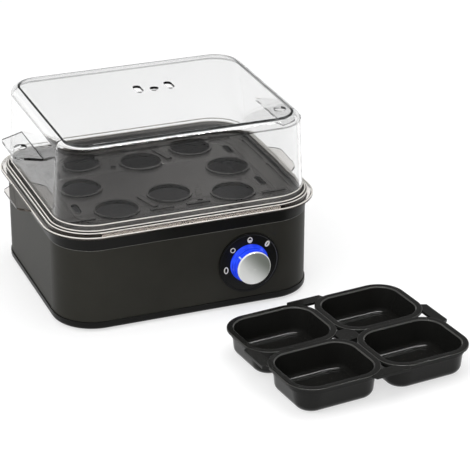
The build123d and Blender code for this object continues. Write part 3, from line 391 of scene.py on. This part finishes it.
def spun_material(name, colour, dark, highlight_reach, rim_highlight, rough, metallic):
    """Spun metal: fine rings around the dial's axis, a painted highlight across it, lighter at the lower left
    than at the upper right, and a painted bright rim.
    """
    mat, tree, _, shader = new_material(name)
    length = from_axis(tree)
    rings = tree.nodes.new("ShaderNodeTexNoise")
    rings.noise_dimensions = "1D"
    rings.inputs["Scale"].default_value = 5200.0
    rings.inputs["Detail"].default_value = 2.0
    tree.links.new(length, rings.inputs["W"])
    # Painted highlight: the colour is lighter towards the dial's lower left and on the rim
    bright = reckoned(tree, "MAXIMUM", across_dial(tree, highlight_reach), stepped(tree, length, *rim_highlight))
    tree.links.new(mixed_colour(tree, bright, dark, colour), shader.inputs["Base Color"])
    tree.links.new(ranged(tree, rings.outputs["Fac"], *rough), shader.inputs["Roughness"])
    shader.inputs["Metallic"].default_value = metallic
    bumped(tree, shader, rings.outputs["Fac"], strength=0.12, distance=0.03 * MM)
    return mat


def sleeve_edge_highlight(tree):
    """A painted highlight along the rounded edge of the sleeve's top."""
    return painted_edge_lines(tree, SLEEVE_HIGHLIGHT_BANDS)


def cup_rim_highlights(tree):
    """A painted highlight on the rounded edges along the cups' rims."""
    high = stepped(tree, split_vector(tree, object_coords(tree))["Z"], *CUP_RIM)
    return reckoned(tree, "MULTIPLY", painted_edge_lines(tree, CUP_HIGHLIGHT_BANDS), high)


def dial_ring_highlight(tree):
    """A painted highlight: a thin line inside the dial's rim, fading out at the lower left."""
    length = from_axis(tree)
    ring = reckoned(tree, "MULTIPLY", stepped(tree, length, *RING_STARTS), stepped(tree, length, *RING_ENDS))
    fade = reckoned(tree, "SUBTRACT", 1.0, across_dial(tree, RING_FADE))
    return reckoned(tree, "MULTIPLY", ring, fade)


SOLID_FINISHES = {
    "anthracite_paint": dict(
        colour=(0.028, 0.0272, 0.0228),
        variation=0.12,
        rough=(0.36, 0.48),
        grain=2600.0,
        bump=0.12,
        bump_depth=0.03 * MM,
        specular=0.08,
        # Painted highlight: a light line along the sleeve's top edge
        painted_line=(sleeve_edge_highlight, (0.2, 0.2, 0.19)),
    ),
    "black_plastic": dict(colour=(0.006, 0.006, 0.0055), rough=(0.3, 0.42), specular=0.12),
    "dial_black": dict(
        colour=(0.007, 0.007, 0.006),
        rough=(0.26, 0.36),
        specular=0.14,
        painted_line=(dial_ring_highlight, (0.09, 0.09, 0.085)),
    ),
    "poach_black": dict(
        colour=(0.01, 0.01, 0.0092),
        rough=(0.13, 0.19),
        grain=1500.0,
        bump=0.03,
        bump_depth=0.02 * MM,
        specular=0.16,
        edge=0.4 * MM,
        # Painted highlight: light lines along the cups' rims
        painted_line=(cup_rim_highlights, (0.06, 0.06, 0.057)),
    ),
    "dish_coating": dict(
        colour=(0.014, 0.014, 0.015),
        rough=(0.3, 0.45),
        grain=1400.0,
        bump=0.12,
        specular=0.3,
    ),
    "rubber_black": dict(
        colour=(0.012, 0.012, 0.012),
        variation=0.25,
        rough=(0.7, 0.85),
        grain=1200.0,
        bump=0.3,
    ),
    "seal_rubber": dict(
        colour=(0.32, 0.31, 0.29),
        variation=0.1,
        rough=(0.55, 0.7),
        grain=1200.0,
        bump=0.15,
    ),
    "bare_steel": dict(
        colour=(0.55, 0.55, 0.56),
        variation=0.12,
        rough=(0.24, 0.42),
        grain=700.0,
        bump=0.15,
        metallic=1.0,
        stretch=(1.0, 6.0, 6.0),
    ),
    "heater_steel": dict(
        colour=(0.2, 0.19, 0.18),
        variation=0.3,
        rough=(0.4, 0.6),
        grain=800.0,
        bump=0.25,
        metallic=1.0,
    ),
    "ceramic": dict(colour=(0.8, 0.77, 0.7), variation=0.06, rough=(0.5, 0.65), bump=0.2),
    "brass": dict(
        colour=(0.68, 0.48, 0.2),
        variation=0.12,
        rough=(0.25, 0.4),
        grain=800.0,
        bump=0.15,
        metallic=1.0,
    ),
    "board_green": dict(colour=(0.02, 0.14, 0.06), rough=(0.25, 0.4), grain=600.0, coat=0.3),
    "lamp_blue": dict(
        colour=(0.5, 0.62, 0.95),
        variation=0.08,
        rough=(0.1, 0.2),
        grain=500.0,
        bump=0.05,
        coat=0.5,
    ),
    # Painted highlight: the pale tubes along the clear pieces' edges
    "highlight_pale": dict(
        colour=(0.72, 0.69, 0.65),
        variation=0.1,
        rough=(0.1, 0.18),
        grain=400.0,
        bump=0.03,
        edge=0.0,
    ),
    "pointer_pale": dict(
        colour=(0.45, 0.6, 0.95),
        variation=0.06,
        rough=(0.2, 0.3),
        bump=0.05,
        edge=0.0,
    ),
    "mark_white": dict(
        colour=(0.8, 0.78, 0.7),
        variation=0.08,
        rough=(0.4, 0.55),
        bump=0.05,
        edge=0.0,
    ),
    "nylon_white": dict(
        colour=(0.72, 0.71, 0.67),
        variation=0.06,
        rough=(0.45, 0.6),
        grain=700.0,
        bump=0.12,
    ),
    "lead_brown": dict(colour=(0.16, 0.06, 0.025), variation=0.15),
    "lead_red": dict(colour=(0.42, 0.02, 0.02), variation=0.15),
    "lead_blue": dict(colour=(0.02, 0.06, 0.4), variation=0.15),
    "lead_green": dict(colour=(0.3, 0.42, 0.03)),
}

CLEAR_FINISHES = {
    "clear_plastic": dict(
        tint=(1.0, 1.0, 1.0),
        lamp_tint=(0.97, 0.98, 0.98),
        absorb=(0.3, 0.36, 0.36),
        density=7.0,
        rough=(0.0, 0.012),
        ior=1.27,
        wave=0.012,
        # Painted shade: dark lines where the lid's rounding begins and ends, at its foot and on walls seen
        # edge on
        shade_lines=((0.012, 0.013, 0.013), LID_SHADE_BANDS, LID_FOOT),
    ),
    "smoky_plastic": dict(
        tint=(0.97, 0.95, 0.93),
        lamp_tint=(0.9, 0.88, 0.86),
        absorb=(0.42, 0.36, 0.31),
        density=80.0,
        rough=(0.0, 0.015),
        ior=1.4,
        wave=0.015,
        # Painted shade: the tray's upright walls are darkened in its colour
        shade_lines=((0.02, 0.018, 0.016), TRAY_SHADE_BANDS, None),
        gloss=(0.95, 0.84, 0.74),
    ),
    "guide_clear": dict(
        tint=(0.92, 0.95, 1.0),
        lamp_tint=(0.85, 0.9, 1.0),
        absorb=(0.5, 0.6, 1.0),
        density=20.0,
        rough=(0.05, 0.15),
        ior=1.49,
        wave=0.03,
    ),
}

MATERIALS = {
    "lit_blue": glowing_material(
        "lit_blue",
        colour=(0.01, 0.03, 0.5),
        glow=(0.003, 0.01, 0.6),
        bright=(0.035, 0.12, 1.0),
        strength=(0.3, 1.0),
    ),
    "silver_cap": spun_material(
        "silver_cap",
        colour=(0.99, 1.0, 0.98),
        dark=(0.22, 0.24, 0.21),
        # Painted highlight and shade: dark at the upper right, light at the lower left and on the rim
        highlight_reach=13.0 * MM,
        rim_highlight=(11.9 * MM, 12.5 * MM),
        rough=(0.3, 0.42),
        metallic=0.15,
    ),
}
for finish_name, finish in SOLID_FINISHES.items():
    MATERIALS[finish_name] = solid_material(finish_name, **finish)
for finish_name, finish in CLEAR_FINISHES.items():
    MATERIALS[finish_name] = clear_material(finish_name, **finish)

for node in nodes.values():
    for place in node.material_slots:
        place.material = MATERIALS[place.material.name.split(".")[0]]


def add_object(name, mesh):
    """Link a mesh as an object of the scene."""
    obj = bpy.data.objects.new(name, mesh)
    bpy.context.scene.collection.objects.link(obj)
    return obj


def level_sheet(name, low, high, height):
    """A level rectangle between two corners."""
    mesh = bpy.data.meshes.new(name)
    corners = ((low[0], low[1]), (high[0], low[1]), (high[0], high[1]), (low[0], high[1]))
    mesh.from_pydata([(x, y, height) for x, y in corners], [], [(0, 1, 2, 3)])
    return mesh


def seen_background(tree, strength):
    """A strength for rays that show the background: from the camera, a gloss or a clear wall."""
    path = tree.nodes.new("ShaderNodeLightPath")
    seen = reckoned(tree, "MAXIMUM", path.outputs["Is Camera Ray"], path.outputs["Is Glossy Ray"])
    seen = reckoned(tree, "MAXIMUM", seen, path.outputs["Is Transmission Ray"])
    return reckoned(tree, "MULTIPLY", seen, strength)


def make_floor():
    """A plain pale floor that shows white and keeps the shadow."""
    half = FLOOR_SIZE / 2
    mesh = level_sheet("floor", (-half, -half), (half, half), -FLOOR_DROP)
    floor = add_object("floor", mesh)
    mat, tree, out, shader = new_material("floor_paper")
    shader.inputs["Base Color"].default_value = FLOOR_COLOUR
    shader.inputs["Roughness"].default_value = FLOOR_ROUGHNESS
    shader.inputs["Specular IOR Level"].default_value = 0.0
    lift = tree.nodes.new("ShaderNodeEmission")
    tree.links.new(seen_background(tree, FLOOR_LIFT), lift.inputs["Strength"])
    add = tree.nodes.new("ShaderNodeAddShader")
    tree.links.new(shader.outputs["BSDF"], add.inputs[0])
    tree.links.new(lift.outputs["Emission"], add.inputs[1])
    tree.links.new(add.outputs["Shader"], out.inputs["Surface"])
    mesh.materials.append(mat)


def make_world():
    """Even light from all round, and a white background."""
    world = bpy.data.worlds.new("studio")
    bpy.context.scene.world = world
    world.use_nodes = True
    tree = world.node_tree
    tree.nodes.clear()
    out = tree.nodes.new("ShaderNodeOutputWorld")
    light = tree.nodes.new("ShaderNodeBackground")
    light.inputs["Strength"].default_value = WORLD_LIGHT
    white = tree.nodes.new("ShaderNodeBackground")
    seen = seen_background(tree, 1.0)
    whole = mixed_shader(tree, seen, light.outputs["Background"], white.outputs["Background"])
    tree.links.new(whole, out.inputs["Surface"])


def reflected_only(name, mesh):
    """A glowing stage piece that lights nothing and that only gloss and clear walls show."""
    piece = add_object(name, mesh)
    piece.visible_camera = False
    piece.visible_diffuse = False
    piece.visible_shadow = False
    mat = bpy.data.materials.new(name + "_cloth")
    mat.use_nodes = True
    mat.cycles.emission_sampling = "NONE"
    tree = mat.node_tree
    tree.nodes.clear()
    out = tree.nodes.new("ShaderNodeOutputMaterial")
    glow = tree.nodes.new("ShaderNodeEmission")
    tree.links.new(glow.outputs["Emission"], out.inputs["Surface"])
    mesh.materials.append(mat)
    return tree, glow


def tent_mesh():
    """The tent's dome, open below the height at which it begins."""
    points = []
    for ring in range(TENT_RINGS):
        rise = math.radians(TENT_START + (90.0 - TENT_START) * ring / TENT_RINGS)
        flat = TENT_RADIUS * math.cos(rise)
        for side in range(TENT_SIDES):
            turn = 2.0 * math.pi * side / TENT_SIDES
            points.append((flat * math.cos(turn), flat * math.sin(turn), TENT_RADIUS * math.sin(rise)))
    points.append((0.0, 0.0, TENT_RADIUS))
    faces = []
    for ring in range(TENT_RINGS - 1):
        first, second = ring * TENT_SIDES, (ring + 1) * TENT_SIDES
        for side in range(TENT_SIDES):
            after = (side + 1) % TENT_SIDES
            faces.append((first + side, first + after, second + after, second + side))
    last, top = (TENT_RINGS - 1) * TENT_SIDES, TENT_RINGS * TENT_SIDES
    faces += [(last + side, last + (side + 1) % TENT_SIDES, top) for side in range(TENT_SIDES)]
    mesh = bpy.data.meshes.new("tent")
    mesh.from_pydata(points, [], faces)
    return mesh


def make_tent():
    """A studio tent: white at the horizon, pale and patchy above it, dark overhead."""
    tree, glow = reflected_only("tent", tent_mesh())
    height = split_vector(tree, object_coords(tree))["Z"]

    def risen(first, second):
        """A step from 0 at one angle above the horizon to 1 at another."""
        heights = [TENT_RADIUS * math.sin(math.radians(angle)) for angle in (first, second)]
        return stepped(tree, height, *heights)

    patch = noise(tree, object_coords(tree), scale=TENT_PATCH_SCALE, detail=2.0)
    cloth = reckoned(tree, "MULTIPLY_ADD", risen(*TENT_DARKENS), TENT_DARK - TENT_PALE, TENT_PALE)
    cloth = reckoned(tree, "MULTIPLY", cloth, ranged(tree, patch, *TENT_PATCHES))
    above = risen(TENT_START, TENT_WHITE_END)
    white = reckoned(tree, "SUBTRACT", 1.0, above)
    tree.links.new(reckoned(tree, "MULTIPLY_ADD", cloth, above, white), glow.inputs["Strength"])


def make_strip(name, low, high, height, strength):
    """A bright level strip overhead, for the fine lines along rounded edges."""
    _, glow = reflected_only(name, level_sheet(name, low, high, height))
    glow.inputs["Strength"].default_value = strength


def make_lamp(name, place, aim, size, power):
    """A soft square lamp that points at a place."""
    lamp = bpy.data.lights.new(name, "AREA")
    lamp.shape = "SQUARE"
    lamp.size = size
    lamp.energy = power
    obj = bpy.data.objects.new(name, lamp)
    obj.location = place
    obj.rotation_euler = (Vector(aim) - Vector(place)).to_track_quat("-Z", "Y").to_euler()
    obj.visible_glossy = False
    obj.visible_transmission = False
    bpy.context.scene.collection.objects.link(obj)


def make_camera():
    """The camera, from its place, yaw, pitch and roll."""
    sin_yaw, cos_yaw = math.sin(CAMERA_YAW), math.cos(CAMERA_YAW)
    sin_pitch, cos_pitch = math.sin(CAMERA_PITCH), math.cos(CAMERA_PITCH)
    ahead = Vector((sin_yaw * cos_pitch, cos_yaw * cos_pitch, -sin_pitch))
    right = Vector((cos_yaw, -sin_yaw, 0.0))
    up = right.cross(ahead)
    side = right * math.cos(CAMERA_ROLL) + up * math.sin(CAMERA_ROLL)
    top = up * math.cos(CAMERA_ROLL) - right * math.sin(CAMERA_ROLL)
    data = bpy.data.cameras.new("camera")
    data.sensor_width = CAMERA_SENSOR
    data.lens = CAMERA_LENS
    data.clip_end = CAMERA_REACH
    cam = bpy.data.objects.new("camera", data)
    turn = Matrix((side, top, -ahead)).transposed().to_4x4()
    cam.matrix_world = Matrix.Translation(CAMERA_PLACE) @ turn
    bpy.context.scene.collection.objects.link(cam)
    bpy.context.scene.camera = cam


def built_mesh(name, build, material):
    """A mesh from a finished bmesh, with its faces turned outwards."""
    bmesh.ops.recalc_face_normals(build, faces=build.faces[:])
    mesh = bpy.data.meshes.new(name)
    build.to_mesh(mesh)
    build.free()
    mesh.materials.append(MATERIALS[material])
    return mesh


def flat_mark(name, rings, discs):
    """A printed mark on the dial: rings and filled shapes in the dial's plane, a hair proud of it.

    A ring is (outer loop, inner loop) and a disc is one loop, each a list of (right, up) in metres."""
    build = bmesh.new()
    near = DIAL_FACE - MARK_RAISE
    far = DIAL_FACE + MARK_SINK

    def points(loop, y):
        return [build.verts.new((DIAL_MIDDLE.x + right, y, DIAL_MIDDLE.z + up)) for right, up in loop]

    def wall(first, second):
        for i in range(len(first)):
            after = (i + 1) % len(first)
            build.faces.new((first[i], first[after], second[after], second[i]))

    for outer, inner in rings:
        front_out, front_in = points(outer, near), points(inner, near)
        back_out, back_in = points(outer, far), points(inner, far)
        wall(front_in, front_out)
        wall(front_out, back_out)
        wall(back_in, front_in)
        wall(back_out, back_in)
    for loop in discs:
        front, back = points(loop, near), points(loop, far)
        build.faces.new(front)
        build.faces.new(list(reversed(back)))
        wall(front, back)
    mark = add_object(name, built_mesh(name, build, "mark_white"))
    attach(mark, "base")


def oval(middle, half_sizes, start=0.0, sweep=360.0, lean=0.0):
    """Points on an oval that leans to the right, or on an arc of it."""
    wide, tall = (size * MM for size in half_sizes)
    closed = sweep >= 360.0
    count = MARK_STEPS if closed else MARK_STEPS // 2 + 1
    step = math.radians(sweep) / (count if closed else count - 1)
    turn = Matrix.Rotation(math.radians(-lean), 2)
    angles = [math.radians(start) + i * step for i in range(count)]
    loop = [turn @ Vector((wide * math.cos(a), tall * math.sin(a))) for a in angles]
    return [(middle[0] + p.x, middle[1] + p.y) for p in loop]


def make_dial_marks():
    """A nought for off, an open circle for soft, a half filled oval for medium and a leaning one for hard."""
    for name, (angle, radius, outer, inner, lean, half_filled) in MARKS.items():
        turn = math.radians(angle)
        middle = radius * MM * math.cos(turn), radius * MM * math.sin(turn)
        ring = (oval(middle, outer, lean=lean), oval(middle, inner, lean=lean))
        lower_half = [oval(middle, inner, start=180.0, sweep=180.0)] if half_filled else []
        flat_mark(name, [ring], lower_half)


def make_pointer():
    """The raised pip on the knob's skirt that points at the marks."""
    turn = math.radians(POINTER_TURN)
    out = Vector((math.cos(turn), 0.0, math.sin(turn)))
    side = Vector((-math.sin(turn), 0.0, math.cos(turn)))
    half = side * POINTER_WIDTH / 2 * MM
    build = bmesh.new()
    rows = []
    for ahead, radius in POINTER_ENDS:
        axis = Vector((DIAL_MIDDLE.x, DIAL_MIDDLE.y - ahead * MM, DIAL_MIDDLE.z))
        foot = axis + out * radius * MM
        low = foot - out * POINTER_SINK * MM
        high = foot + out * POINTER_RAISE * MM
        corners = (low - half, high - half * POINTER_TAPER, high + half * POINTER_TAPER, low + half)
        rows.append([build.verts.new(corner) for corner in corners])
    first, second = rows
    build.faces.new(first)
    build.faces.new(list(reversed(second)))
    for i in range(4):
        after = (i + 1) % 4
        build.faces.new((first[i], second[i], second[after], first[after]))
    pointer = add_object("pointer", built_mesh("pointer", build, "pointer_pale"))
    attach(pointer, "knob")


def rounded_path(half_x, half_y, radius):
    """Points and outward directions along a rounded rectangle."""
    path = []
    for number, (sx, sy) in enumerate(((1, 1), (-1, 1), (-1, -1), (1, -1))):
        middle = Vector((sx * (half_x - radius), sy * (half_y - radius)))
        for step in range(HIGHLIGHT_CORNER + 1):
            turn = math.radians(90.0 * (number + step / HIGHLIGHT_CORNER))
            out = Vector((math.cos(turn), math.sin(turn)))
            path.append((middle + out * radius, out))
    return path


def make_edge_highlight(name, body, slot, out, height, thick):
    """A painted highlight: a thin pale tube all round a clear piece, for its bright rounded edge."""
    path = rounded_path((BODY_HALF[0] + out) * MM, (BODY_HALF[1] + out) * MM, (BODY_RADIUS + out) * MM)
    points = []
    for place, away in path:
        for side in range(HIGHLIGHT_SIDES):
            turn = 2.0 * math.pi * side / HIGHLIGHT_SIDES
            flat = place + away * thick * MM * math.cos(turn)
            points.append((flat.x, flat.y, (height + thick * math.sin(turn)) * MM))
    faces = []
    for row in range(len(path)):
        first, second = row * HIGHLIGHT_SIDES, (row + 1) % len(path) * HIGHLIGHT_SIDES
        for side in range(HIGHLIGHT_SIDES):
            after = (side + 1) % HIGHLIGHT_SIDES
            faces.append((first + side, second + side, second + after, first + after))
    mesh = bpy.data.meshes.new(name)
    mesh.from_pydata(points, [], faces)
    mesh.polygons.foreach_set("use_smooth", [True] * len(faces))
    mesh.materials.append(MATERIALS["highlight_pale"])
    edge_highlight = add_object(name, mesh)
    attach(edge_highlight, body)


make_dial_marks()
make_pointer()
for highlight_name, highlight_sizes in EDGE_HIGHLIGHTS.items():
    make_edge_highlight(highlight_name, *highlight_sizes)
make_floor()
make_world()
make_camera()
make_tent()
for strip_name, strip_sizes in STRIPS.items():
    make_strip(strip_name, *strip_sizes)
for lamp_name, lamp_sizes in LAMPS.items():
    make_lamp(lamp_name, *lamp_sizes)

bpy.context.scene.view_settings.view_transform = "Standard"
